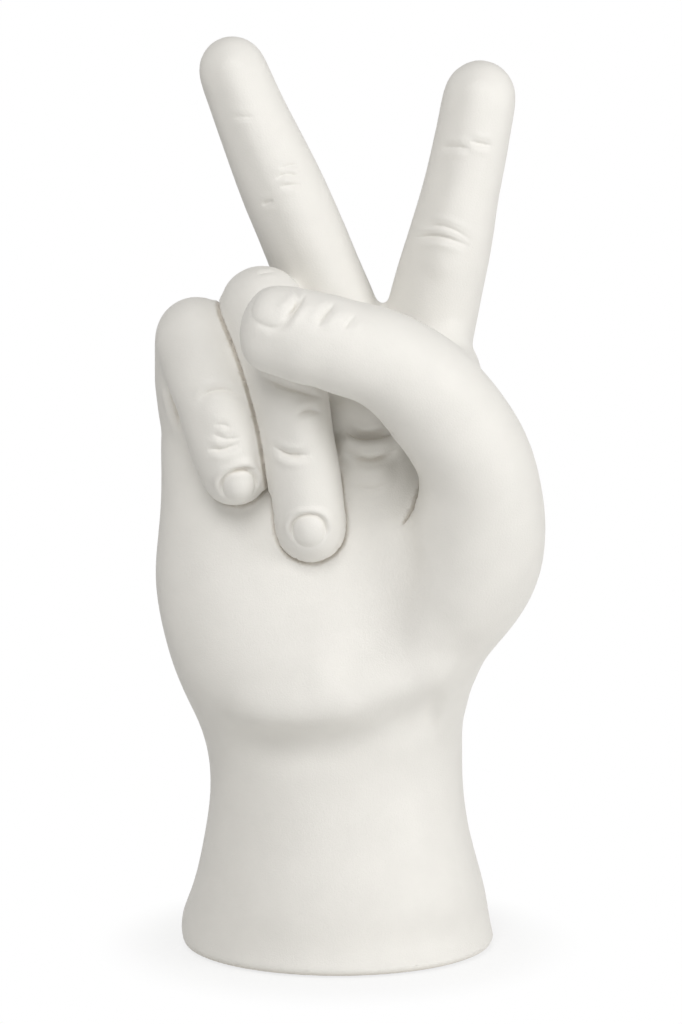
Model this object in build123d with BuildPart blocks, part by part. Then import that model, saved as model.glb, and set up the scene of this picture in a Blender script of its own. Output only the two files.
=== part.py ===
"""A ceramic hand giving the V sign, standing on its wrist.

The hand is slip cast in pieces: a hollow wrist and palm, and five hollow digits that are stuck
to it with slip before firing. Each digit has a tubular tenon at its root. The tenon stands in a
socket through the palm's wall and vents the digit's hollow into the palm. A ceramic plate with a
vent hole closes the foot, and a felt disc is glued under the plate.

Frame: +Z up, -Y the way the palm faces, +X the thumb's side. The origin is the centre of the
felt's underside, which is the face that the sculpture rests on. All sizes are in millimetres.
"""

import os
from dataclasses import dataclass
from math import copysign, cos, pi, radians, sin

from build123d import *

# Casting and joints
wall = 5.0  # cast wall of the palm, wrist and digits
core_radius = 7.5  # widest hollow left inside a digit
tenon_diameter = 11.0  # tube at the root of each digit
tenon_vent = 4.0  # bore of that tube
slip_gap = 0.2  # room for slip around a tenon and around the foot plate
socket_end_gap = 1.0  # socket deeper than its tenon

# Foot
foot_ring = 4.0  # width of the ring left round the foot's recess
plate_ledge = 3.0  # width of the seat above the foot plate
plate_thickness = 5.0
vent_diameter = 8.0  # hole in the middle of the foot plate
felt_thickness = 2.5
felt_proud = 0.5  # felt stands below the foot ring by this
felt_gap = 0.4  # felt is cut smaller than the recess by this on each side
foot_round = 2.0  # rounded edge of the foot

# Form
outline_points = 16  # points round each section of the palm and digits
section_step = 6.0  # spacing of the sections along a digit
dome_angles = (25, 48, 67, 81)  # where a rounded end is sectioned, in degrees from its root
foot_angles = (0, 30, 60, 90)  # where the foot's rounded edge is sectioned
web_side = (1, 0, 0)  # direction across the web between the thumb and the index finger


@dataclass
class Level:
    """One horizontal section of the wrist and palm."""

    z: float  # height above the foot ring
    left: float
    right: float
    front: float
    back: float
    squareness: float = 2.0  # 2 is an ellipse, more is squarer


@dataclass
class Station:
    """One section across a digit, square to its run."""

    centre: tuple
    across: float  # radius along the digit's side direction
    deep: float  # radius square to that


@dataclass
class Digit:
    """A thumb or finger, from its knuckle to its tip."""

    runs: list  # stations from root to tip, in two runs where the digit is folded at its middle joint
    side: tuple  # direction across the digit
    tip_length: float  # length of the rounded tip
    hollow_from: int  # station of the last run where the hollow starts, above the tenon
    tenon_to: tuple  # end of the tenon, inside the palm
    web: list = ()  # stations of the web from the finger beside it, drawn with web_side across it


hand_levels = [
    Level(foot_round, -43.3, 43.0, -38.6, 37.5),  # foot
    Level(14.0, -41.2, 40.8, -36.0, 35.6),
    Level(29.0, -37.4, 36.9, -32.0, 32.4),
    Level(43.0, -35.5, 34.6, -28.5, 29.8),  # narrowest part of the wrist
    Level(56.0, -36.5, 34.2, -27.6, 27.3, 2.1),  # crease under the heel of the palm
    Level(63.5, -38.7, 34.2, -30.0, 25.9, 2.15),
    Level(70.0, -41.3, 34.2, -34.2, 24.8, 2.2),
    Level(78.0, -44.5, 34.2, -35.6, 23.7, 2.3),  # heel of the palm
    Level(90.0, -48.0, 34.6, -33.0, 22.2, 2.4),
    Level(104.0, -50.0, 35.0, -28.2, 20.8, 2.5),
    Level(119.0, -48.9, 35.2, -23.6, 19.6, 2.6),
    Level(134.0, -48.4, 34.8, -20.6, 18.6, 2.6),  # hollow of the palm
    Level(147.0, -47.8, 33.8, -18.0, 17.4, 2.5),
    Level(157.0, -43.0, 33.0, -14.6, 16.2, 2.4),
    Level(165.0, -31.0, 31.0, -10.2, 14.6, 2.3),
    Level(171.0, -14.0, 25.0, -5.4, 11.4, 2.2),  # webs between the fingers
]

index_digit = Digit(
    runs=[
        [
            Station((20.0, 1.5, 148.0), 12.4, 12.0),
            Station((23.8, 1.5, 168.0), 12.6, 12.4),
            Station((27.0, 0.5, 183.0), 12.2, 11.8),
            Station((30.2, -0.5, 196.0), 11.5, 11.2),
            Station((33.0, -1.0, 209.0), 10.5, 10.2),
            Station((35.4, -1.5, 220.5), 10.2, 9.8),
            Station((37.8, -2.0, 233.8), 9.9, 9.2),
        ]
    ],
    side=(1, 0, 0),
    tip_length=10.8,
    hollow_from=2,
    tenon_to=(20.0, 1.0, 147.0),
)
middle_digit = Digit(
    runs=[
        [
            Station((3.0, 2.0, 151.0), 12.4, 12.2),
            Station((0.0, 3.0, 171.0), 12.4, 12.2),
            Station((-5.9, 2.5, 187.5), 11.8, 11.6),
            Station((-10.7, 2.0, 199.5), 11.6, 11.3),
            Station((-16.1, 1.5, 212.0), 11.3, 10.8),
            Station((-23.6, 0.5, 229.5), 10.0, 9.6),
            Station((-28.2, 0.0, 241.0), 9.3, 8.9),
        ]
    ],
    side=(1, 0, 0),
    tip_length=10.0,
    hollow_from=2,
    tenon_to=(4.0, 2.0, 149.0),
)
ring_digit = Digit(
    runs=[
        [
            Station((-17.0, 2.0, 147.0), 12.0, 11.6),
            Station((-19.0, -6.0, 165.0), 11.6, 11.6),
            Station((-20.4, -17.0, 179.4), 11.4, 11.2),
        ],
        [
            Station((-20.2, -19.0, 179.4), 11.4, 11.0),
            Station((-16.6, -25.4, 169.0), 10.2, 10.2),
            Station((-13.0, -28.4, 158.0), 10.1, 9.6),
            Station((-10.8, -28.2, 146.0), 9.6, 9.8),
            Station((-8.7, -27.0, 133.0), 9.7, 9.4),
            Station((-7.5, -25.6, 122.0), 9.4, 8.8),
        ],
    ],
    side=(1, 0, 0),
    tip_length=10.0,
    hollow_from=0,
    tenon_to=(-15.0, 3.0, 149.0),
)
little_digit = Digit(
    runs=[
        [
            Station((-36.0, 1.0, 138.0), 11.4, 11.8),
            Station((-38.2, -6.0, 155.0), 11.4, 11.6),
            Station((-38.1, -14.5, 170.4), 11.2, 11.6),
        ],
        [
            Station((-37.9, -16.0, 170.4), 11.3, 11.4),
            Station((-35.0, -22.2, 161.5), 10.9, 10.8),
            Station((-32.5, -24.6, 154.0), 10.4, 10.4),
            Station((-30.6, -25.2, 146.5), 10.1, 10.0),
            Station((-29.0, -24.6, 140.0), 9.6, 9.4),
            Station((-27.7, -23.4, 135.2), 8.9, 8.8),
        ],
    ],
    side=(1, 0, 0),
    tip_length=8.2,
    hollow_from=0,
    tenon_to=(-33.0, 1.0, 140.0),
)
thumb_digit = Digit(
    runs=[
        [
            Station((13.6, -10.0, 73.5), 17.0, 15.8),
            Station((23.9, -15.0, 91.8), 18.6, 17.5),
            Station((36.1, -21.5, 113.2), 18.0, 18.8),
            Station((36.6, -29.5, 138.1), 16.0, 15.6),
            Station((24.7, -38.0, 157.9), 13.8, 14.6),
            Station((12.8, -43.6, 168.0), 12.6, 13.2),
            Station((0.6, -46.6, 172.4), 11.8, 12.5),
            Station((-9.6, -47.4, 175.2), 10.8, 12.2),
            Station((-17.6, -46.6, 177.0), 9.4, 11.5),
        ]
    ],
    side=(0, 1, 0),
    tip_length=8.0,
    hollow_from=2,
    tenon_to=(15.0, -3.0, 113.0),
    web=[
        Station((29.5, -3.0, 160.0), 9.4, 10.0),
        Station((30.0, -18.0, 158.6), 9.0, 10.0),
        Station((27.5, -33.0, 157.5), 9.2, 10.4),
    ],
)


def rounded_face(plane, centre, half_width, half_depth, squareness=2.0):
    """A face on a plane, bounded by a smooth closed outline round a centre."""
    points = []
    for step in range(outline_points):
        angle = 2 * pi * step / outline_points
        x = copysign(abs(cos(angle)) ** (2 / squareness), cos(angle))
        y = copysign(abs(sin(angle)) ** (2 / squareness), sin(angle))
        points.append((centre[0] + half_width * x, centre[1] + half_depth * y))
    with BuildSketch(plane) as face:
        with BuildLine():
            Spline(*points, periodic=True)
        make_face()
    return face.sketch


def level_sketch(level, z, inset=0.0):
    """A level's face at height z, drawn in by inset."""
    centre = ((level.right + level.left) / 2, (level.back + level.front) / 2)
    half_width = (level.right - level.left) / 2 - inset
    half_depth = (level.back - level.front) / 2 - inset
    return rounded_face(Plane.XY.offset(z), centre, half_width, half_depth, level.squareness)


def smooth_value(before, start, end, after, share):
    """A value between start and end, on a smooth curve that also passes the values on either side."""
    leaving = (end - before) / 2
    arriving = (after - start) / 2
    bend = 3 * (end - start) - 2 * leaving - arriving
    twist = leaving + arriving - 2 * (end - start)
    return start + leaving * share + bend * share**2 + twist * share**3


def refined(run):
    """Stations on a smooth line through a run's own stations, evenly spaced about one step apart."""
    values = [(*station.centre, station.across, station.deep) for station in run]
    reach = [0.0]
    for start, end in zip(run, run[1:]):
        reach.append(reach[-1] + (Vector(*end.centre) - Vector(*start.centre)).length)
    count = max(1, round(reach[-1] / section_step))
    stations = []
    for step in range(count):
        along = reach[-1] * step / count
        number = max(index for index in range(len(run) - 1) if reach[index] <= along)
        share = (along - reach[number]) / (reach[number + 1] - reach[number])
        before, after = values[max(number - 1, 0)], values[min(number + 2, len(run) - 1)]
        four = zip(before, values[number], values[number + 1], after)
        x, y, z, across, deep = [smooth_value(*group, share) for group in four]
        stations.append(Station((x, y, z), across, deep))
    return stations + [run[-1]]


def station_planes(run, side):
    """The plane of each station, square to the run of the digit there."""
    centres = [Vector(*station.centre) for station in run]
    side = Vector(*side)
    planes = []
    for number, centre in enumerate(centres):
        before = centres[max(number - 1, 0)]
        after = centres[min(number + 1, len(centres) - 1)]
        ahead = (after - before).normalized()
        across = (side - ahead * side.dot(ahead)).normalized()
        planes.append(Plane(origin=centre, x_dir=across, z_dir=ahead))
    return planes


def run_sketches(run, side, tip_length):
    """The sections of one run of a digit, rounded at both ends."""
    run = refined(run)
    planes = station_planes(run, side)
    first, last = run[0], run[-1]
    sections = []
    for angle in reversed(dome_angles):
        sections.append((planes[0].offset(-first.deep * sin(radians(angle))), first, cos(radians(angle))))
    for plane, station in zip(planes, run):
        sections.append((plane, station, 1.0))
    for angle in dome_angles:
        sections.append((planes[-1].offset(tip_length * sin(radians(angle))), last, cos(radians(angle))))
    sketches = []
    for plane, station, share in sections:
        sketches.append(rounded_face(plane, (0, 0), station.across * share, station.deep * share))
    return sketches


def hollow_sketches(digit):
    """The sections of the hollow in the last run of a digit, which stops a station short of its solid tip."""
    run = refined(digit.runs[-1][digit.hollow_from : -1])
    sketches = []
    for plane, station in zip(station_planes(run, digit.side), run):
        with BuildSketch(plane) as section:
            Circle(min(min(station.across, station.deep) - wall, core_radius))
        sketches.append(section.sketch)
    return sketches


def tenon_run(digit, extra=0.0):
    """The inner end of a digit's tenon, its direction out of the palm and its length."""
    start = Vector(*digit.runs[-1][digit.hollow_from].centre)
    end = Vector(*digit.tenon_to)
    direction = (start - end).normalized()
    return end - direction * extra, direction, (start - end).length + extra


def round_bar(start, direction, length, radius):
    """A round bar that starts at a point, for a tenon, its bore or its socket."""
    with BuildPart() as bar:
        with BuildSketch(Plane(origin=start, z_dir=direction)):
            Circle(radius)
        extrude(amount=length)
    return bar.part


digits = {
    "index_finger": index_digit,
    "middle_finger": middle_digit,
    "ring_finger": ring_digit,
    "little_finger": little_digit,
    "thumb": thumb_digit,
}
foot = hand_levels[0]
cavity_floor = felt_thickness + plate_thickness

# Outside of the wrist and palm, solid, which the digits are cut to fit
with BuildPart() as hand_form:
    loft([level_sketch(level, felt_proud + level.z) for level in hand_levels])
    foot_sections = []
    for angle in foot_angles:
        z = felt_proud + foot_round * (1 - cos(radians(angle)))
        foot_sections.append(level_sketch(foot, z, foot_round * (1 - sin(radians(angle)))))
    loft(foot_sections, ruled=True)

# Outside of each digit, solid
digit_forms = {}
for name, digit in digits.items():
    with BuildPart() as digit_form:
        for run in digit.runs:
            end = digit.tip_length if run is digit.runs[-1] else run[-1].deep
            loft(run_sketches(run, digit.side, end))
        if digit.web:
            loft(run_sketches(digit.web, web_side, digit.web[-1].deep))
    digit_forms[name] = digit_form.part

# Wrist and palm: hollow, open at the foot, with a socket for each digit
with BuildPart() as wrist_and_palm:
    add(hand_form.part)
    cavity_levels = [level_sketch(foot, cavity_floor, foot_ring + plate_ledge)]
    cavity_levels += [level_sketch(level, felt_proud + level.z, wall) for level in hand_levels[1:-1]]
    loft(cavity_levels, mode=Mode.SUBTRACT)
    extrude(level_sketch(foot, 0.0, foot_ring), amount=cavity_floor, mode=Mode.SUBTRACT)
    for digit in digits.values():
        socket = round_bar(*tenon_run(digit, socket_end_gap), tenon_diameter / 2 + slip_gap)
        add(socket, mode=Mode.SUBTRACT)

# Digits: each is cut to sit on the palm and beside the digits before it
digit_parts = {}
for name, digit in digits.items():
    with BuildPart() as digit_part:
        add(digit_forms[name])
        add(hand_form.part, mode=Mode.SUBTRACT)
        for neighbour in digit_parts:
            add(digit_forms[neighbour], mode=Mode.SUBTRACT)
        add(round_bar(*tenon_run(digit), tenon_diameter / 2))
        loft(hollow_sketches(digit), mode=Mode.SUBTRACT)
        add(round_bar(*tenon_run(digit), tenon_vent / 2), mode=Mode.SUBTRACT)
    digit_parts[name] = digit_part.part

# Plate that closes the foot
with BuildPart() as foot_plate:
    extrude(level_sketch(foot, felt_thickness, foot_ring + slip_gap), amount=plate_thickness)
    with Locations((0, 0, cavity_floor)):
        Hole(vent_diameter / 2)

# Felt under the plate
with BuildPart() as felt_base:
    extrude(level_sketch(foot, 0.0, foot_ring + felt_gap), amount=felt_thickness)

pieces = {"wrist_and_palm": wrist_and_palm.part, "foot_plate": foot_plate.part, "felt_base": felt_base.part}
pieces.update(digit_parts)
os.makedirs("parts", exist_ok=True)
for name, piece in pieces.items():
    piece.label = name
    export_step(piece, f"parts/{name}.step")
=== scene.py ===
"""A white ceramic hand giving the V sign, dressed over its CAD pieces.

The cast pieces are fused into one skin, their joints are smoothed over as slip and a wet sponge
do it, nails, creases and knuckles are carved in, and the skin is divided along the joints again,
so that each piece is a mesh of its own. The foot plate and the felt keep their CAD shapes.
"""

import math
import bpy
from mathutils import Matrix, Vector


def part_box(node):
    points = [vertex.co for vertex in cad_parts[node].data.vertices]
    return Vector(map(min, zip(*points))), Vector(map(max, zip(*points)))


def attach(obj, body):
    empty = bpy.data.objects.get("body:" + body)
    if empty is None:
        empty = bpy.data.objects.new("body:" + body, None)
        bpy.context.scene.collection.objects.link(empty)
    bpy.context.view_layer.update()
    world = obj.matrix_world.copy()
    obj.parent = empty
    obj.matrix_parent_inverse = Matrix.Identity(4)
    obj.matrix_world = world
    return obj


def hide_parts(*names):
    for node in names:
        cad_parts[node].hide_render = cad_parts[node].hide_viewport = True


bl_info = {
    "name": "Ceramic V-sign hand",
    "version": (1, 0, 0),
    "blender": (4, 5, 0),
    "location": "3D View > Sidebar > Hand",
    "description": "Carves the skin of a cast ceramic hand, divides it into its pieces and stages it",
    "category": "Add Mesh",
}

from collections import namedtuple

import bmesh
import bpy
import numpy as np
from bpy.props import FloatProperty, FloatVectorProperty, IntProperty, PointerProperty
from bpy.types import Operator, Panel, PropertyGroup
from mathutils import Matrix, Vector
from mathutils.bvhtree import BVHTree

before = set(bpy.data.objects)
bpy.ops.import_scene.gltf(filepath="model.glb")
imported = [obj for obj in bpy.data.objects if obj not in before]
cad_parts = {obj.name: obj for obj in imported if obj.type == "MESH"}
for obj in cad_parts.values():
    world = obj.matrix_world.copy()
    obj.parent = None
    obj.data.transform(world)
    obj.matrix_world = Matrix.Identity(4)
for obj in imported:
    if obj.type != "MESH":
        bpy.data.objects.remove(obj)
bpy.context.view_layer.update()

MM = 0.001
CAST_PIECES = ("index_finger", "middle_finger", "ring_finger", "little_finger", "thumb", "wrist_and_palm")
BODY = "root"
CERAMIC = "matt_white_ceramic"

# The photograph's frame and the camera that was fitted to it
PHOTO_WIDTH = 682
PHOTO_HEIGHT = 1024
FOCAL_PIXELS = 4035.0
CENTRE_PIXEL = (338.5, 516.1)  # where the camera's axis meets the picture
CAMERA_ELEVATION = math.radians(9.0)
CAMERA_DISTANCE = 1.1
CAMERA_TARGET = Vector((0.0, -0.005, 0.121))
CAMERA_AHEAD = Vector((0.0, math.cos(CAMERA_ELEVATION), -math.sin(CAMERA_ELEVATION)))
CAMERA_UP = Vector((0.0, math.sin(CAMERA_ELEVATION), math.cos(CAMERA_ELEVATION)))
CAMERA_RIGHT = CAMERA_AHEAD.cross(CAMERA_UP)
CAMERA_PLACE = CAMERA_TARGET - CAMERA_AHEAD * CAMERA_DISTANCE
SENSOR_MM = 36.0
FAR = 0.5  # start of a sight line from the back or the thumb's side

# Lamps, in degrees to the right of the front and up, and the floor, in metres
SIDE_LAMP = (62.0, 10.0)
FRONT_LAMP = (-10.0, 44.0)
LAMP_DISTANCE = 1.2
LAMP_SIZE = 0.6
FLOOR_HALF = 40.0
SHADOW_EDGE = (0.042, 0.07)  # radii between which the floor's own shade gives way to white
SHADOW_WHITE = 0.78  # how white the floor is shown inside them

# Marks are drawn on the skin along lines of sight. In the photo view their points are pixels of the
# photograph, and in the other views they are millimetres: x and z from the back, y and z from the
# thumb's side. Widths, depths, radii and heights are millimetres. A blend smooths the skin round a
# place: it fills hollows, and lowers says how much of its smoothing of bumps is kept.
Crease = namedtuple("Crease", "view points width depth lip", defaults=(0.35,))
Ledge = namedtuple("Ledge", "view points width rise")
Mound = namedtuple("Mound", "view points radius height piece", defaults=(None,))
Nail = namedtuple("Nail", "view root tip half_width height flatness fold square", defaults=(2.6,))
Blend = namedtuple("Blend", "centre radius lowers", defaults=(0.15,))
MARK_STEPS = 40  # places along a mark for each of its points
BROAD_ROUNDS = 24  # rounds of averaging for directions that a groove doesn't turn
REFINE_REACHES = (3.2, 1.4)  # how far round a mark the mesh is halved each time, in widths
REFINE_ROUNDS = 4  # rounds of smoothing after each
SNAP = 0.12  # share of an edge within which a cut moves to the edge's end
WORKING_VALUES = ("gap_", "side", "skin_normal", "inwards", "blend")  # not kept in finished pieces

MOUNDS = (
    # pad at the root of the middle finger and the roll of skin under it, inside the thumb's arch
    Mound("photo", ((350, 406), (378, 412)), 12.0, 7.5, "wrist_and_palm"),
    Mound("photo", ((347, 445), (368, 449), (394, 442)), 5.5, 4.2, "wrist_and_palm"),
    Mound("photo", ((356, 474), (376, 474)), 6.5, 1.8, "wrist_and_palm"),
    # valley that runs down from the arch beside the thumb's root
    Mound("photo", ((398, 572), (380, 616), (358, 656)), 13.0, -1.3),
    # outer edge of the thumb's root, which the smoothing of its joint takes down
    Mound("thumb_side", ((-10, 76),), 20.0, 2.2),
    # joints of the folded fingers
    Mound("photo", ((303, 432),), 6.5, 0.9),
    Mound("photo", ((222, 416),), 7.0, 0.9),
    # fronts of the raised fingers
    Mound("photo", ((478, 92), (470, 140), (456, 200), (441, 262)), 6.5, 0.7),
    Mound("photo", ((234, 70), (250, 120), (280, 182), (308, 240), (332, 288)), 6.5, 0.7),
    # knuckles and tendons on the back
    Mound("back", ((20, 153),), 11.0, 1.4),
    Mound("back", ((2, 156),), 11.0, 1.5),
    Mound("back", ((-17, 152),), 11.0, 1.3),
    Mound("back", ((-34, 143),), 10.0, 1.2),
    Mound("back", ((19, 142), (13, 112), (8, 84)), 4.5, 0.7),
    Mound("back", ((2, 146), (2, 114), (3, 84)), 4.5, 0.7),
    Mound("back", ((-16, 142), (-10, 112), (-3, 84)), 4.5, 0.6),
)

LEDGES = (
    # heel of the palm over the wrist
    Ledge(
        "photo",
        ((213, 715), (242, 726), (290, 732), (340, 725), (390, 708), (432, 696), (454, 690)),
        6.5, 1.7,
    ),
)

CREASES = (
    # index finger, end joint and middle joint
    Crease("photo", ((440, 148), (455, 147), (472, 149)), 1.3, 0.5),
    Crease("photo", ((469, 141), (481, 144), (493, 146)), 1.3, 0.6),
    Crease("photo", ((423, 227), (440, 226), (456, 231), (473, 241)), 1.3, 0.6),
    Crease("photo", ((413, 238), (432, 236), (450, 239), (471, 247)), 1.4, 0.8),
    # middle finger, end joint and middle joint
    Crease("photo", ((231, 118), (243, 117), (256, 117)), 1.2, 0.25),
    Crease("photo", ((278, 169), (288, 166), (300, 164)), 1.1, 0.5),
    Crease("photo", ((274, 179), (287, 174), (301, 177)), 1.2, 0.6),
    Crease("photo", ((279, 187), (290, 185), (302, 184)), 1.2, 0.4),
    Crease("photo", ((261, 205), (267, 203), (274, 200)), 1.2, 0.35),
    # thumb, folds behind the nail and over the end joint
    Crease("photo", ((306, 294), (295, 308), (281, 321)), 1.7, 0.8),
    Crease("photo", ((317, 328), (325, 314), (335, 302)), 1.6, 0.9),
    Crease("photo", ((343, 331), (349, 322), (356, 314)), 1.5, 0.5),
    # ring finger, folds over its joints
    Crease("photo", ((294, 415), (309, 410), (322, 413)), 1.3, 0.8),
    Crease("photo", ((272, 446), (288, 455), (311, 455)), 1.5, 1.1),
    Crease("photo", ((257, 275), (266, 272), (276, 272)), 1.3, 0.3),
    # where the thumb lies on the ring finger
    Crease("photo", ((258, 374), (280, 385), (305, 392), (326, 398)), 2.0, 1.4, 0.0),
    # little finger, folds over its joints and above the nail
    Crease("photo", ((196, 402), (209, 392), (227, 390), (248, 398)), 1.4, 0.8),
    Crease("photo", ((212, 434), (226, 439), (242, 437)), 1.4, 0.5),
    Crease("photo", ((206, 450), (224, 449), (241, 443)), 1.5, 0.9),
    Crease("photo", ((213, 426), (222, 425), (232, 428)), 1.2, 0.4),
    Crease("photo", ((226, 471), (241, 468), (257, 469)), 1.3, 0.7),
    # slit between the little finger and the edge of the hand
    Crease("photo", ((167, 384), (173, 406), (182, 436)), 1.6, 1.5),
    # creases of the palm under the middle finger, inside the thumb's arch
    Crease("photo", ((344, 430), (360, 436), (380, 435), (394, 432)), 1.6, 1.5),
    Crease("photo", ((344, 452), (358, 459), (372, 461), (386, 457), (398, 449)), 1.6, 1.7),
    Crease("photo", ((352, 486), (372, 490), (390, 484)), 1.8, 0.6),
    # folds over the joints of the raised fingers, on their backs
    Crease("back", ((26, 197.5), (30, 198.5), (35, 197)), 1.5, 0.5),
    Crease("back", ((25, 194.5), (30, 195), (36, 194)), 1.5, 0.6),
    Crease("back", ((31, 220), (35, 221), (40, 219.5)), 1.2, 0.35),
    Crease("back", ((-17, 203), (-12, 202), (-7, 200)), 1.5, 0.5),
    Crease("back", ((-16.5, 199.5), (-11, 198.5), (-6, 196.5)), 1.5, 0.6),
    Crease("back", ((-26, 228.5), (-22, 227.5), (-18, 225.5)), 1.2, 0.35),
)

NAILS = (
    Nail("photo", (291, 307), (254, 299), 5.9, 0.55, 5.0, 0.4),  # thumb
    Nail("photo", (307, 516), (310, 547), 4.3, 1.2, 2.0, 0.5, 2.2),  # ring finger
    Nail("photo", (237, 473), (242, 501), 4.4, 1.2, 2.0, 0.5, 2.2),  # little finger
    Nail("back", (36.4, 226.0), (38.6, 238.5), 5.6, 0.45, 6.0, 0.4),  # index finger
    Nail("back", (-25.2, 234.0), (-29.8, 246.0), 5.4, 0.45, 6.0, 0.4),  # middle finger
)

# pieces that only touch, so that a line stays between them
SEAMS = (
    ("ring_finger", "little_finger"),
    ("thumb", "ring_finger"),
    ("thumb", "little_finger"),
    ("thumb", "wrist_and_palm"),
    ("ring_finger", "wrist_and_palm"),
    ("little_finger", "wrist_and_palm"),
)
SEAM_WIDTH = 0.55
SEAM_DEPTH = 2.3
JOINT_WALL = 1.5  # how far a piece's skin turns into the clay at a joint

BLENDS = (
    Blend((18.0, -33.0, 86.0), 26.0, 0.7),  # thumb's root in front
    Blend((28.0, -28.0, 74.0), 26.0, 0.7),
    Blend((14.0, -32.0, 98.0), 18.0),
    Blend((36.0, -14.0, 72.0), 22.0, 0.7),
    Blend((15.0, -27.0, 111.0), 15.0),  # where the arch runs out into the valley
    Blend((38.0, 2.0, 92.0), 22.0),  # thumb's root behind
    Blend((38.0, -2.0, 114.0), 20.0),
    Blend((24.0, 6.0, 166.0), 16.0),  # raised fingers at the back
    Blend((0.0, 8.0, 168.0), 16.0),
    Blend((-9.0, 0.0, 172.0), 10.0),
    Blend((-18.0, 6.0, 160.0), 15.0),  # folded fingers at the back
    Blend((-38.0, 2.0, 148.0), 15.0),
    Blend((-46.0, -8.0, 148.0), 12.0),  # little finger's root at the side
    Blend((11.0, 2.0, 172.0), 8.0),  # web between the raised fingers
    Blend((35.0, -6.0, 164.0), 14.0),  # web between the thumb and the index finger
    Blend((30.0, -14.0, 169.0), 14.0),
    Blend((28.0, -28.0, 167.0), 12.0),
)


def hex_colour(text):
    """The linear colour of an sRGB hex value."""
    channels = [int(text[place : place + 2], 16) / 255 for place in (1, 3, 5)]
    linear = [c / 12.92 if c <= 0.04045 else ((c + 0.055) / 1.055) ** 2.4 for c in channels]
    return (*linear, 1.0)


def darker(colour, share):
    """A colour with a share of its light."""
    return tuple(channel * share for channel in colour[:3]) + (1.0,)


class SkinSettings(PropertyGroup):
    """How the skin is made and carved."""

    grid: FloatProperty(
        name="Grid", description="Spacing of the skin's mesh", default=0.85 * MM, unit="LENGTH"
    )
    closes: FloatProperty(
        name="Slip", description="Half the width of the gaps that slip closes",
        default=0.4 * MM, unit="LENGTH",
    )
    blend_rounds: IntProperty(
        name="Blend rounds", description="How far the joints are smoothed over", default=900, min=0
    )
    sponge_rounds: IntProperty(
        name="Sponge rounds", description="Light smoothing of the whole skin", default=14, min=0
    )
    relief: FloatProperty(
        name="Relief", description="Strength of creases, nails and knuckles", default=1.0, min=0.0
    )


class FinishSettings(PropertyGroup):
    """Colours of the fired clay and the felt, and of the shade painted into recesses."""

    ceramic: FloatVectorProperty(
        name="Ceramic", subtype="COLOR", size=4, min=0, max=1, default=hex_colour("#EFEDE8"),
        description="Colour of the matt white clay body",
    )
    # painted shade: a darker, warmer colour laid into creases, contact lines and nail grooves, where shade
    # falls
    painted_recess_shade: FloatVectorProperty(
        name="Recesses", subtype="COLOR", size=4, min=0, max=1, default=hex_colour("#DCD5CA"),
        description="Colour of the slip that stays in creases and contact lines",
    )
    felt: FloatVectorProperty(
        name="Felt", subtype="COLOR", size=4, min=0, max=1, default=hex_colour("#4A4642"),
        description="Colour of the wool felt under the foot",
    )


class StageSettings(PropertyGroup):
    """Light and floor."""

    side_power: FloatProperty(
        name="Side light", description="Power of the soft lamp on the right", default=5.4, unit="POWER"
    )
    front_power: FloatProperty(
        name="Front light", description="Power of the soft lamp high in front", default=6.4, unit="POWER"
    )
    ambient: FloatProperty(
        name="Ambient", description="Strength of the light from all round", default=0.29, min=0.0
    )
    floor: FloatVectorProperty(
        name="Floor", subtype="COLOR", size=4, min=0, max=1, default=hex_colour("#F7F7F6"),
        description="Colour of the floor",
    )


def sight_line(view, point):
    """Start and direction of the line of sight through a point of a view."""
    if view == "photo":
        sideways = (point[0] - CENTRE_PIXEL[0]) / FOCAL_PIXELS
        upwards = (CENTRE_PIXEL[1] - point[1]) / FOCAL_PIXELS
        return CAMERA_PLACE, (CAMERA_AHEAD + CAMERA_RIGHT * sideways + CAMERA_UP * upwards).normalized()
    across, height = point[0] * MM, point[1] * MM
    if view == "back":
        return Vector((across, FAR, height)), Vector((0, -1, 0))
    return Vector((FAR, across, height)), Vector((-1, 0, 0))


def smooth_path(points, count):
    """Evenly counted points on a smooth curve through a few points of a view."""
    points = np.array(points, float)
    padded = np.vstack([2 * points[0] - points[1], points, 2 * points[-1] - points[-2]])
    path = []
    for place in np.linspace(0, len(points) - 1.0001, count):
        number = int(place)
        share = place - number
        before, start, end, after = padded[number : number + 4]
        leaving, arriving = (end - before) / 2, (after - start) / 2
        bend = 3 * (end - start) - 2 * leaving - arriving
        twist = leaving + arriving - 2 * (end - start)
        path.append(start + leaving * share + bend * share**2 + twist * share**3)
    return path


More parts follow.
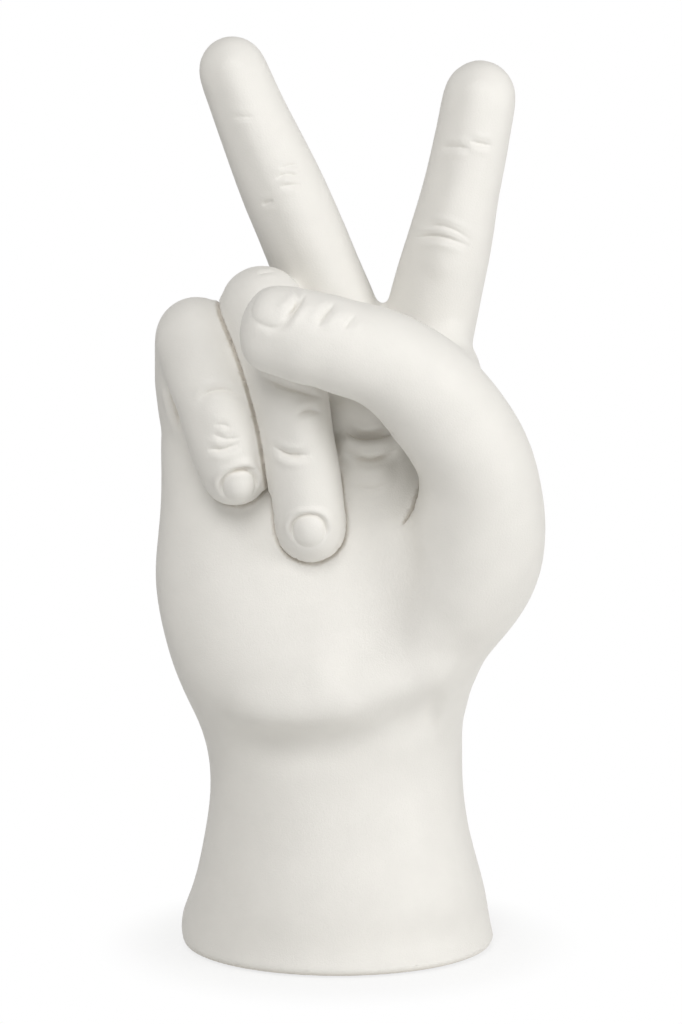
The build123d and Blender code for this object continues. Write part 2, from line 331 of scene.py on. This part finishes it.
class Skin:
    """The fused skin, with the moves that carve it."""

    def __init__(self, mesh):
        self.mesh = mesh
        self.refresh()

    def refresh(self):
        """Reads the mesh's points and normals again."""
        count = len(self.mesh.vertices)
        self.points = np.empty(count * 3)
        self.mesh.vertices.foreach_get("co", self.points)
        self.points = self.points.reshape(-1, 3)
        self.normals = np.empty(count * 3)
        self.mesh.vertex_normals.foreach_get("vector", self.normals)
        self.normals = self.normals.reshape(-1, 3)
        polygons = [polygon.vertices[:] for polygon in self.mesh.polygons]
        self.tree = BVHTree.FromPolygons([tuple(point) for point in self.points], polygons)

    def broad_normals(self):
        """Normals averaged over the skin round each point, which hold steady across a narrow groove."""
        ends = np.empty(len(self.mesh.edges) * 2, int)
        self.mesh.edges.foreach_get("vertices", ends)
        first, second = ends.reshape(-1, 2).T
        normals = self.normals.copy()
        for _ in range(BROAD_ROUNDS):
            for axis in range(3):
                values = normals[:, axis]
                sums = np.bincount(first, values[second], len(values))
                sums += np.bincount(second, values[first], len(values))
                normals[:, axis] = values + sums
            normals /= np.linalg.norm(normals, axis=1)[:, None]
        return normals

    def write(self):
        """Puts moved points back into the mesh."""
        self.mesh.vertices.foreach_set("co", self.points.ravel())
        self.mesh.update()
        self.refresh()

    def touch(self, view, point):
        """Where a line of sight meets the skin, and the normal there."""
        place, normal, _, _ = self.tree.ray_cast(*sight_line(view, point))
        if place is None:
            raise RuntimeError(f"the line of sight {view} {point} misses the hand")
        return np.array(place), np.array(normal)

    def near(self, places, reach):
        """Numbers of the skin's points near some places, their distance and their nearest place."""
        low, high = places.min(0) - reach, places.max(0) + reach
        numbers = np.where(((self.points > low) & (self.points < high)).all(1))[0]
        spans = np.linalg.norm(self.points[numbers, None] - places[None], axis=2)
        nearest = spans.argmin(1)
        distance = spans[np.arange(len(numbers)), nearest]
        close = distance < reach
        return numbers[close], distance[close], nearest[close]

    def path(self, mark):
        """A mark's line on the skin."""
        if len(mark.points) == 1:
            return self.touch(mark.view, mark.points[0])[0][None]
        count = MARK_STEPS * len(mark.points)
        return np.array([self.touch(mark.view, point)[0] for point in smooth_path(mark.points, count)])

    def values(self, name):
        """One value for each point, kept with the mesh."""
        values = np.empty(len(self.points))
        self.mesh.attributes[name].data.foreach_get("value", values)
        return values

    def keep_values(self, name, values):
        """Keeps one value for each point with the mesh."""
        self.mesh.attributes.new(name, "FLOAT", "POINT").data.foreach_set("value", values)

    def nearest_other(self, *nodes):
        """How far each point is from the nearest cast piece that isn't one of the given ones."""
        return np.min([self.values("gap_" + node) for node in CAST_PIECES if node not in nodes], axis=0)

    def seam_distance(self, seam):
        """About how far each point is from the line where two pieces touch."""
        first, second = self.values("gap_" + seam[0]), self.values("gap_" + seam[1])
        along_seam = np.maximum(first, second) < self.nearest_other(*seam) + SEAM_WIDTH * MM
        return np.where(along_seam, np.abs(first - second), 1.0)

    def carve_seam(self, seam, relief, inwards):
        """Deepens the line between two pieces that touch, away from smoothed joints."""
        distance = self.seam_distance(seam) / (SEAM_WIDTH * MM)
        numbers = np.where(distance < 3)[0]
        fade = 1 - soft_step(self.values("blend")[numbers], 0.0, 0.5)
        depth = SEAM_DEPTH * MM * relief * fade * bell(distance[numbers], 0, 1)
        self.points[numbers] += inwards[numbers] * depth[:, None]

    def push(self, numbers, move):
        """Moves points along their normals."""
        self.points[numbers] += self.normals[numbers] * move[:, None]

    def carve_crease(self, crease, relief):
        """Presses a groove with soft lips that fades out at its ends."""
        line = self.path(crease)
        width = crease.width * MM
        numbers, distance, nearest = self.near(line, 4 * width)
        share = nearest / (len(line) - 1)
        ends, least = 0.3, 0.08  # share of the line that fades, and what is left at its very ends
        fade = np.clip(np.minimum(share, 1 - share) / ends, least, 1)
        groove = -0.6 * bell(distance, 0, 0.35 * width) - 0.4 * bell(distance, 0, width)
        lips = crease.lip * bell(distance, 1.5 * width, 0.8 * width)
        self.push(numbers, crease.depth * MM * relief * fade * (groove + lips))

    def raise_ledge(self, ledge, relief):
        """Raises the skin above a line and sinks it below, so that it overhangs."""
        line = self.path(ledge)
        width = ledge.width * MM
        numbers, distance, nearest = self.near(line, 3 * width)
        share = nearest / (len(line) - 1)
        start, end = 0.25, 0.16  # shares of the line over which the ledge comes and goes
        fade = soft_step(share, 0, start) * soft_step(1 - share, 0, end)
        height = (self.points[numbers, 2] - line[nearest, 2]) / width
        profile = height * np.exp(0.5 - height**2 / 2) * np.exp(-((distance / (2 * width)) ** 4))
        self.push(numbers, ledge.rise * MM * relief * fade * profile)

    def raise_mound(self, mound, relief):
        """Raises a soft bump along a line."""
        radius = mound.radius * MM
        numbers, distance, _ = self.near(self.path(mound), radius)
        if mound.piece:
            mine = self.values("gap_" + mound.piece)[numbers] < self.nearest_other(mound.piece)[numbers]
            numbers, distance = numbers[mine], distance[mine]
        self.push(numbers, mound.height * MM * relief * (1 - (distance / radius) ** 2) ** 2)

    def carve_nail(self, nail, relief):
        """Raises a nail's plate out of a groove, with a fold of skin round its sides and root."""
        root, _ = self.touch(nail.view, nail.root)
        tip, _ = self.touch(nail.view, nail.tip)
        middle, normal = self.touch(nail.view, nail_middle(nail))
        half_length = np.linalg.norm(tip - root) / 2
        along = (tip - root) / (2 * half_length)
        normal = normal - along * normal.dot(along)
        normal /= np.linalg.norm(normal)
        across = np.cross(along, normal)
        numbers, _, _ = self.near(middle[None], 2.2 * max(half_length, nail.half_width * MM))
        offset = self.points[numbers] - middle
        facing = self.normals[numbers] @ normal > 0
        u = (offset @ across) / (nail.half_width * MM)
        v = (offset @ along) / half_length
        # 1 all along the plate's edge, so the groove is just outside it and the fold outside that
        rim = (np.abs(u) ** nail.square + np.abs(v) ** nail.square) ** (1 / nail.square)
        plate = np.where(rim < 1, 1 - rim**nail.flatness, 0)
        groove = -0.5 * bell(rim, 1.06, 0.1) * (1 - 0.8 * soft_step(v, -0.2, 0.8))
        fold = nail.fold * bell(rim, 1.34, 0.2) * np.clip(0.8 - v, 0, 1)
        self.push(numbers, nail.height * MM * relief * (plate + groove + fold) * facing)


def nail_middle(nail):
    """The middle of a nail in its view."""
    return [(a + b) / 2 for a, b in zip(nail.root, nail.tip)]


def smoothed_points(piece, weights, rounds):
    """A piece's points after rounds of smoothing, each point held by its weight."""
    group = piece.vertex_groups.new(name="smoothing")
    for number in np.where(weights > 0)[0]:
        group.add([int(number)], float(weights[number]), "REPLACE")
    smooth = piece.modifiers.new("smoothing", "SMOOTH")
    smooth.factor = 0.5
    smooth.iterations = rounds
    smooth.vertex_group = group.name
    evaluated = piece.evaluated_get(bpy.context.evaluated_depsgraph_get())
    points = np.empty(len(piece.data.vertices) * 3)
    evaluated.data.vertices.foreach_get("co", points)
    piece.modifiers.remove(smooth)
    piece.vertex_groups.remove(group)
    return points.reshape(-1, 3)


def bell(values, middle, spread):
    """1 at the middle, and falling off on both sides over the spread."""
    return np.exp(-(((values - middle) / spread) ** 2))


def soft_step(values, low, high):
    """0 below low, 1 above high and a smooth ramp between."""
    share = np.clip((values - low) / (high - low), 0, 1)
    return share * share * (3 - 2 * share)


def groups(items, beside):
    """Points or faces in groups that hang together, the largest last."""
    unseen = set(items)
    found = []
    while unseen:
        group, front = [], [unseen.pop()]
        while front:
            item = front.pop()
            group.append(item)
            joined = beside(item) & unseen
            unseen -= joined
            front += joined
        found.append(group)
    return sorted(found, key=len)


def verts_beside(vert):
    """The points at the other ends of a point's edges."""
    return {edge.other_vert(vert) for edge in vert.link_edges}


def faces_beside(face):
    """The faces that share an edge with a face."""
    return {other for edge in face.edges for other in edge.link_faces}


class HAND_OT_skin(Operator):
    """Fuse the cast pieces into one skin and smooth their joints over"""

    bl_idname = "hand.skin"
    bl_label = "Fuse the skin"

    def execute(self, context):
        settings = context.scene.hand_skin
        shell = bmesh.new()
        for node in CAST_PIECES:
            shell.from_mesh(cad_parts[node].data)
        self.plug_foot(shell)
        bmesh.ops.remove_doubles(shell, verts=shell.verts, dist=0.001 * MM)
        self.swell(shell, settings.closes)
        mesh = bpy.data.meshes.new("hand_skin")
        shell.to_mesh(mesh)
        shell.free()
        piece = bpy.data.objects.new("hand_skin", mesh)
        context.scene.collection.objects.link(piece)
        self.remesh(piece, settings.grid)
        self.shrink(piece, settings.closes)
        self.blend_joints(piece, settings)
        self.measure_gaps(piece)
        return {"FINISHED"}

    def plug_foot(self, shell):
        """Closes the foot above the felt, so that the hollow inside stays out of the skin."""
        low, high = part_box("foot_plate")
        margin = 0.3 * MM
        size = Vector((high.x - low.x + margin, high.y - low.y + margin, high.z - low.z))
        # the plug is a cylinder of unit size that is stretched to the plate's
        place = Matrix.Translation((low + high) / 2) @ Matrix.Diagonal((*size, 1))
        bmesh.ops.create_cone(
            shell, cap_ends=True, segments=96, radius1=0.5, radius2=0.5, depth=1.0, matrix=place
        )

    def swell(self, shell, margin):
        """Moves all faces out, so that slip fills the narrow gaps between pieces that touch."""
        shell.normal_update()
        for vert in shell.verts:
            vert.co += vert.normal * margin

    def shrink(self, piece, margin):
        """Moves the fused skin back in."""
        skin = Skin(piece.data)
        skin.points -= skin.normals * margin
        skin.write()

    def remesh(self, piece, grid):
        """Replaces the joined pieces by one even skin."""
        remesh = piece.modifiers.new("skin", "REMESH")
        remesh.mode = "VOXEL"
        remesh.voxel_size = grid
        evaluated = piece.evaluated_get(bpy.context.evaluated_depsgraph_get())
        mesh = bpy.data.meshes.new_from_object(evaluated)
        piece.modifiers.remove(remesh)
        whole = bmesh.new()
        whole.from_mesh(mesh)
        self.drop_specks(whole)
        whole.to_mesh(mesh)
        whole.free()
        piece.data = mesh

    def drop_specks(self, whole):
        """Deletes every closed shell but the largest."""
        for speck in groups(whole.verts, verts_beside)[:-1]:
            bmesh.ops.delete(whole, geom=speck, context="VERTS")

    def blend_joints(self, piece, settings):
        """Fills the corners at the joints, then wipes the whole skin lightly."""
        skin = Skin(piece.data)
        weights = np.zeros(len(skin.points))
        lowers = np.zeros(len(skin.points))
        for blend in BLENDS:
            offset = skin.points - np.array(blend.centre) * MM
            distance = np.linalg.norm(offset, axis=1) / (blend.radius * MM)
            weight = 1 - soft_step(distance, 0.5, 1.0)
            weights = np.maximum(weights, weight)
            lowers = np.maximum(lowers, blend.lowers * weight)
        filled = smoothed_points(piece, weights, settings.blend_rounds)
        outwards = ((filled - skin.points) * skin.normals).sum(1)
        share = np.where(outwards > 0, 1.0, lowers)
        skin.points += (filled - skin.points) * share[:, None]
        skin.keep_values("blend", weights)
        skin.write()
        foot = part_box("foot_plate")[1].z
        weights = soft_step(skin.points[:, 2], 0.5 * foot, foot)  # the foot's rim stays crisp
        skin.points[:] = smoothed_points(piece, weights, settings.sponge_rounds)
        skin.write()

    def measure_gaps(self, piece):
        """Keeps how far each point of the skin is from each cast piece."""
        skin = Skin(piece.data)
        for node in CAST_PIECES:
            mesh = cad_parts[node].data
            corners = [vert.co for vert in mesh.vertices]
            tree = BVHTree.FromPolygons(corners, [polygon.vertices[:] for polygon in mesh.polygons])
            gaps = [tree.find_nearest(point)[3] for point in skin.points]
            skin.keep_values("gap_" + node, gaps)


class HAND_OT_carve(Operator):
    """Carve nails, creases and knuckles into the skin"""

    bl_idname = "hand.carve"
    bl_label = "Carve the skin"

    def execute(self, context):
        relief = context.scene.hand_skin.relief
        piece = bpy.data.objects["hand_skin"]
        skin = Skin(piece.data)
        for mound in MOUNDS:
            skin.raise_mound(mound, relief)
        for ledge in LEDGES:
            skin.raise_ledge(ledge, relief)
        skin.write()
        for reach in REFINE_REACHES:
            self.refine(piece, reach)
        skin = Skin(piece.data)
        inwards = -skin.broad_normals()
        for seam in SEAMS:
            skin.carve_seam(seam, relief, inwards)
        for crease in CREASES:
            skin.carve_crease(crease, relief)
        skin.write()
        for nail in NAILS:
            skin.carve_nail(nail, relief)
        skin.write()
        return {"FINISHED"}

    def refine(self, piece, reach):
        """Halves the mesh's spacing round each seam, crease and nail, out to a reach in widths."""
        skin = Skin(piece.data)
        zone = np.zeros(len(skin.points), bool)
        for seam in SEAMS:
            zone |= (skin.seam_distance(seam) < reach * SEAM_WIDTH * MM) & (skin.values("blend") < 0.5)
        for crease in CREASES:
            zone[skin.near(skin.path(crease), reach * crease.width * MM)[0]] = True
        for nail in NAILS:
            middle, _ = skin.touch(nail.view, nail_middle(nail))
            half_widths = 1.1 + 0.25 * reach  # takes in the folds beside the nail
            zone[skin.near(middle[None], half_widths * nail.half_width * MM)[0]] = True
        whole = bmesh.new()
        whole.from_mesh(piece.data)
        edges = [e for e in whole.edges if zone[e.verts[0].index] and zone[e.verts[1].index]]
        bmesh.ops.subdivide_edges(whole, edges=edges, cuts=1, use_grid_fill=True)
        whole.to_mesh(piece.data)
        whole.free()
        fine = Skin(piece.data)
        weights = np.ones(len(fine.points))  # the new points come after the old ones
        weights[: len(zone)] = zone
        fine.points[:] = smoothed_points(piece, weights, REFINE_ROUNDS)
        fine.write()


class HAND_OT_divide(Operator):
    """Divide the skin along the joints into the cast pieces"""

    bl_idname = "hand.divide"
    bl_label = "Divide the skin"

    def execute(self, context):
        source = bpy.data.objects["hand_skin"]
        skin = Skin(source.data)
        whole = bmesh.new()
        whole.from_mesh(source.data)
        shading = whole.verts.layers.float_vector.new("skin_normal")
        inwards = whole.verts.layers.float_vector.new("inwards")
        for vert, normal, broad in zip(whole.verts, skin.normals, skin.broad_normals()):
            vert[shading] = normal
            vert[inwards] = -broad
        side = whole.verts.layers.float.new("side")
        gaps = {node: whole.verts.layers.float["gap_" + node] for node in CAST_PIECES}
        material = ceramic_material(context.scene.hand_finish)
        rest = list(CAST_PIECES)
        while len(rest) > 1:
            node = rest.pop(0)
            for vert in whole.verts:
                vert[side] = vert[gaps[node]] - min(vert[gaps[other]] for other in rest)
            self.cut_along(whole, side)
            mine = self.without_islands(whole, side)
            self.make_piece(whole, mine, node, material)
            bmesh.ops.delete(whole, geom=mine, context="FACES")
        self.make_piece(whole, list(whole.faces), rest[0], material)
        whole.free()
        bpy.data.objects.remove(source)
        return {"FINISHED"}

    def cut_along(self, whole, side):
        """Cuts the skin where the side value changes its sign."""
        for edge in whole.edges:
            first, second = edge.verts
            if first[side] * second[side] < 0:
                share = first[side] / (first[side] - second[side])
                if share < SNAP:
                    first[side] = 0.0
                elif share > 1 - SNAP:
                    second[side] = 0.0
        for edge in [edge for edge in whole.edges if edge.verts[0][side] * edge.verts[1][side] < 0]:
            first, second = edge.verts
            share = first[side] / (first[side] - second[side])
            _, vert = bmesh.utils.edge_split(edge, first, share)
            vert[side] = 0.0
        line = [vert for vert in whole.verts if vert[side] == 0.0]
        bmesh.ops.connect_verts(whole, verts=line)

    def without_islands(self, whole, side):
        """The faces on the negative side, with islands of either side left to the piece round them."""
        mine = {face for face in whole.faces if sum(vert[side] for vert in face.verts) < 0}
        for island in groups(mine, faces_beside)[:-1]:
            mine.difference_update(island)
        for island in groups(set(whole.faces) - mine, faces_beside)[:-1]:
            mine.update(island)
        return [face for face in whole.faces if face in mine]

    def close_joints(self, part):
        """Closes a piece's open joints by a short wall into the clay and a cap that can't be seen."""
        edges = [edge for edge in part.edges if edge.is_boundary]
        made = bmesh.ops.extrude_edge_only(part, edges=edges)["geom"]
        inwards = part.verts.layers.float_vector["inwards"]
        for vert in [item for item in made if isinstance(item, bmesh.types.BMVert)]:
            vert.co += vert[inwards].normalized() * JOINT_WALL * MM
        inner = [item for item in made if isinstance(item, bmesh.types.BMEdge) and item.is_boundary]
        caps = bmesh.ops.holes_fill(part, edges=inner, sides=0)["faces"]
        bmesh.ops.triangulate(part, faces=caps)

    def make_piece(self, whole, faces, node, material):
        """Makes one closed piece of some faces of the skin."""
        whole.faces.index_update()
        keep = {face.index for face in faces}
        part = whole.copy()
        part.faces.ensure_lookup_table()
        extra = [face for face in part.faces if face.index not in keep]
        bmesh.ops.delete(part, geom=extra, context="FACES")
        shading = part.verts.layers.float_vector["skin_normal"]
        self.close_joints(part)
        normals = [vert[shading].normalized() for vert in part.verts]
        for face in part.faces:
            face.smooth = True
        mesh = bpy.data.meshes.new(node + "_skin")
        part.to_mesh(mesh)
        part.free()
        for name in [layer.name for layer in mesh.attributes if layer.name.startswith(WORKING_VALUES)]:
            mesh.attributes.remove(mesh.attributes[name])
        mesh.normals_split_custom_set_from_vertices(normals)
        mesh.materials.append(material)
        piece = bpy.data.objects.new(node + "_skin", mesh)
        bpy.context.scene.collection.objects.link(piece)
        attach(piece, BODY)
        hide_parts(node)


def add_node(tree, kind, inputs=None, **settings):
    """A node with its settings, and its inputs given values or links from other nodes' sockets."""
    node = tree.nodes.new(kind)
    for name, value in settings.items():
        setattr(node, name, value)
    for name, value in (inputs or {}).items():
        if isinstance(value, bpy.types.NodeSocket):
            tree.links.new(value, node.inputs[name])
        else:
            node.inputs[name].default_value = value
    return node


def new_material(name):
    """A material with an empty tree."""
    material = bpy.data.materials.new(name)
    material.use_nodes = True
    material.node_tree.nodes.clear()
    return material, material.node_tree


def ceramic_material(settings):
    """Matt white stoneware, cast and sponged: a warm white with a fine dry grain, and painted shade, darker
    and warmer, in recesses.
    """
    if CERAMIC in bpy.data.materials:
        return bpy.data.materials[CERAMIC]
    material, tree = new_material(CERAMIC)
    place = add_node(tree, "ShaderNodeTexCoord").outputs["Object"]
    grain_mm = 0.45  # grit of the clay is finer, and is drawn this coarse so that it shows
    cloud_mm = 9.0  # uneven drying of the slip
    grain = add_node(
        tree, "ShaderNodeTexNoise",
        {"Vector": place, "Scale": 1 / (grain_mm * MM), "Detail": 3.0, "Roughness": 0.6},
    )
    cloud = add_node(
        tree, "ShaderNodeTexNoise", {"Vector": place, "Scale": 1 / (cloud_mm * MM), "Detail": 2.0}
    )
    white = settings.ceramic
    shade = darker(white, 0.93)
    clouded = add_node(
        tree, "ShaderNodeMix", {"Factor": cloud.outputs["Fac"], "A": shade, "B": white[:]}, data_type="RGBA"
    )
    shade_reach_mm = 3.0  # width of the creases that get painted shade
    # painted shade: the less open air round a point, the more its colour turns to the painted recess shade
    # colour, darkening creases, contact lines and nail grooves
    open_air = add_node(tree, "ShaderNodeAmbientOcclusion", {"Distance": shade_reach_mm * MM}, samples=8)
    slip = add_node(
        tree, "ShaderNodeMapRange",
        {"Value": open_air.outputs["AO"], "From Min": 0.3, "From Max": 0.8, "To Min": 0.55, "To Max": 0.0},
    )
    colour = add_node(
        tree, "ShaderNodeMix",
        {"Factor": slip.outputs["Result"], "A": clouded.outputs["Result"], "B": settings.painted_recess_shade[:]},
        data_type="RGBA",
    )
    gloss = add_node(
        tree, "ShaderNodeMapRange",
        {"Value": grain.outputs["Fac"], "From Min": 0.3, "From Max": 0.7, "To Min": 0.5, "To Max": 0.68},
    )
    bump = add_node(
        tree, "ShaderNodeBump", {"Height": grain.outputs["Fac"], "Strength": 0.8, "Distance": 0.1 * MM}
    )
    surface = add_node(
        tree, "ShaderNodeBsdfPrincipled",
        {
            "Base Color": colour.outputs["Result"],
            "Roughness": gloss.outputs["Result"],
            "Normal": bump.outputs["Normal"],
            "IOR": 1.5,
        },
    )
    add_node(tree, "ShaderNodeOutputMaterial", {"Surface": surface.outputs["BSDF"]})
    return material


def felt_material(settings):
    """Pressed wool felt: dull, soft and covered with short fibres."""
    material, tree = new_material("pressed_wool_felt")
    place = add_node(tree, "ShaderNodeTexCoord").outputs["Object"]
    fibre_mm = 0.8
    fibres = add_node(
        tree, "ShaderNodeTexNoise",
        {
            "Vector": place, "Scale": 1 / (fibre_mm * MM),
            "Detail": 6.0, "Roughness": 0.75, "Distortion": 1.5,
        },
    )
    colour = add_node(
        tree, "ShaderNodeMix",
        {"Factor": fibres.outputs["Fac"], "A": darker(settings.felt, 0.55), "B": settings.felt[:]},
        data_type="RGBA",
    )
    bump = add_node(
        tree, "ShaderNodeBump", {"Height": fibres.outputs["Fac"], "Strength": 0.8, "Distance": 0.3 * MM}
    )
    surface = add_node(
        tree, "ShaderNodeBsdfPrincipled",
        {
            "Base Color": colour.outputs["Result"],
            "Roughness": 0.95,
            "Normal": bump.outputs["Normal"],
            "Sheen Weight": 0.3,
        },
    )
    add_node(tree, "ShaderNodeOutputMaterial", {"Surface": surface.outputs["BSDF"]})
    return material


class HAND_OT_foot(Operator):
    """Finish the foot plate and the felt under it"""

    bl_idname = "hand.foot"
    bl_label = "Finish the foot"

    def execute(self, context):
        finish = context.scene.hand_finish
        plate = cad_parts["foot_plate"]
        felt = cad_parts["felt_base"]
        plate.data.materials.clear()
        plate.data.materials.append(ceramic_material(finish))
        felt.data.materials.clear()
        felt.data.materials.append(felt_material(finish))
        return {"FINISHED"}


class HAND_OT_stage(Operator):
    """Set the floor, the light and the camera"""

    bl_idname = "hand.stage"
    bl_label = "Set the stage"

    def execute(self, context):
        settings = context.scene.hand_stage
        self.add_floor(context, settings)
        self.add_light(context, settings)
        self.add_camera(context)
        context.scene.view_settings.view_transform = "Standard"
        return {"FINISHED"}

    def seen_directly(self, tree):
        """1 for rays that show the backdrop itself or its reflection, 0 for rays that light the object."""
        path = add_node(tree, "ShaderNodeLightPath")
        first = add_node(
            tree, "ShaderNodeMath",
            {0: path.outputs["Is Camera Ray"], 1: path.outputs["Is Glossy Ray"]}, operation="MAXIMUM",
        )
        both = add_node(
            tree, "ShaderNodeMath",
            {0: first.outputs[0], 1: path.outputs["Is Transmission Ray"]}, operation="MAXIMUM",
        )
        return both.outputs[0]

    def add_floor(self, context, settings):
        """A wide white floor that keeps a faint shadow round the foot."""
        plane = bmesh.new()
        bmesh.ops.create_grid(plane, x_segments=1, y_segments=1, size=FLOOR_HALF)
        mesh = bpy.data.meshes.new("floor")
        plane.to_mesh(mesh)
        plane.free()
        floor = bpy.data.objects.new("floor", mesh)
        context.scene.collection.objects.link(floor)
        material, tree = new_material("white_paper_floor")
        place = add_node(tree, "ShaderNodeTexCoord").outputs["Object"]
        reach = add_node(tree, "ShaderNodeVectorMath", {0: place}, operation="LENGTH")
        white = add_node(
            tree, "ShaderNodeMapRange",
            {
                "Value": reach.outputs["Value"],
                "From Min": SHADOW_EDGE[0], "From Max": SHADOW_EDGE[1], "To Min": SHADOW_WHITE,
            },
            interpolation_type="SMOOTHSTEP",
        )
        paper = add_node(tree, "ShaderNodeBsdfDiffuse", {"Color": settings.floor[:]})
        glow = add_node(tree, "ShaderNodeEmission", {"Color": (1, 1, 1, 1), "Strength": 1.0})
        shown = add_node(
            tree, "ShaderNodeMath",
            {0: self.seen_directly(tree), 1: white.outputs["Result"]}, operation="MULTIPLY",
        )
        mix = add_node(
            tree, "ShaderNodeMixShader", {0: shown.outputs[0], 1: paper.outputs[0], 2: glow.outputs[0]}
        )
        add_node(tree, "ShaderNodeOutputMaterial", {"Surface": mix.outputs[0]})
        mesh.materials.append(material)

    def add_light(self, context, settings):
        """Soft lamps on the right and high in front, and light from all round."""
        world = bpy.data.worlds.new("studio")
        world.use_nodes = True
        tree = world.node_tree
        tree.nodes.clear()
        fill = add_node(
            tree, "ShaderNodeBackground", {"Color": hex_colour("#FDFAF5"), "Strength": settings.ambient}
        )
        white = add_node(tree, "ShaderNodeBackground", {"Color": (1, 1, 1, 1), "Strength": 1.0})
        mix = add_node(
            tree, "ShaderNodeMixShader",
            {0: self.seen_directly(tree), 1: fill.outputs[0], 2: white.outputs[0]},
        )
        add_node(tree, "ShaderNodeOutputWorld", {"Surface": mix.outputs[0]})
        context.scene.world = world
        self.add_lamp(context, "side", SIDE_LAMP, settings.side_power)
        self.add_lamp(context, "front", FRONT_LAMP, settings.front_power)

    def add_lamp(self, context, name, angles, power):
        """A round soft lamp that faces the hand, turned to the right of its front and lifted."""
        turn, lift = (math.radians(angle) for angle in angles)
        lamp = bpy.data.lights.new(name, "AREA")
        lamp.shape = "DISK"
        lamp.size = LAMP_SIZE
        lamp.energy = power
        away = Vector((math.sin(turn) * math.cos(lift), -math.cos(turn) * math.cos(lift), math.sin(lift)))
        holder = bpy.data.objects.new(name, lamp)
        holder.location = CAMERA_TARGET + away * LAMP_DISTANCE
        holder.rotation_euler = (-away).to_track_quat("-Z", "Y").to_euler()
        context.scene.collection.objects.link(holder)

    def add_camera(self, context):
        """The camera that was fitted to the photograph."""
        camera = bpy.data.cameras.new("camera")
        camera.sensor_width = SENSOR_MM
        camera.lens = FOCAL_PIXELS / PHOTO_HEIGHT * SENSOR_MM
        camera.shift_x = (PHOTO_WIDTH / 2 - CENTRE_PIXEL[0]) / PHOTO_HEIGHT
        camera.shift_y = (CENTRE_PIXEL[1] - PHOTO_HEIGHT / 2) / PHOTO_HEIGHT
        holder = bpy.data.objects.new("camera", camera)
        turn = Matrix((CAMERA_RIGHT, CAMERA_UP, -CAMERA_AHEAD)).transposed()
        holder.matrix_world = Matrix.Translation(CAMERA_PLACE) @ turn.to_4x4()
        context.scene.collection.objects.link(holder)
        context.scene.camera = holder


class HAND_PT_panel(Panel):
    """Lists the steps in the sidebar"""

    bl_idname = "HAND_PT_panel"
    bl_label = "Ceramic hand"
    bl_space_type = "VIEW_3D"
    bl_region_type = "UI"
    bl_category = "Hand"

    def draw(self, context):
        for settings in (context.scene.hand_skin, context.scene.hand_finish, context.scene.hand_stage):
            for name in settings.__annotations__:
                self.layout.prop(settings, name)
        for step in STEPS:
            self.layout.operator(step.bl_idname)


STEPS = (HAND_OT_skin, HAND_OT_carve, HAND_OT_divide, HAND_OT_foot, HAND_OT_stage)
CLASSES = (SkinSettings, FinishSettings, StageSettings, *STEPS, HAND_PT_panel)


def register():
    for cls in CLASSES:
        bpy.utils.register_class(cls)
    bpy.types.Scene.hand_skin = PointerProperty(type=SkinSettings)
    bpy.types.Scene.hand_finish = PointerProperty(type=FinishSettings)
    bpy.types.Scene.hand_stage = PointerProperty(type=StageSettings)


def unregister():
    del bpy.types.Scene.hand_skin
    del bpy.types.Scene.hand_finish
    del bpy.types.Scene.hand_stage
    for cls in reversed(CLASSES):
        bpy.utils.unregister_class(cls)


def main():
    """Makes the hand and its stage."""
    register()
    bpy.ops.hand.skin()
    bpy.ops.hand.carve()
    bpy.ops.hand.divide()
    bpy.ops.hand.foot()
    bpy.ops.hand.stage()


if __name__ == "__main__":
    main()
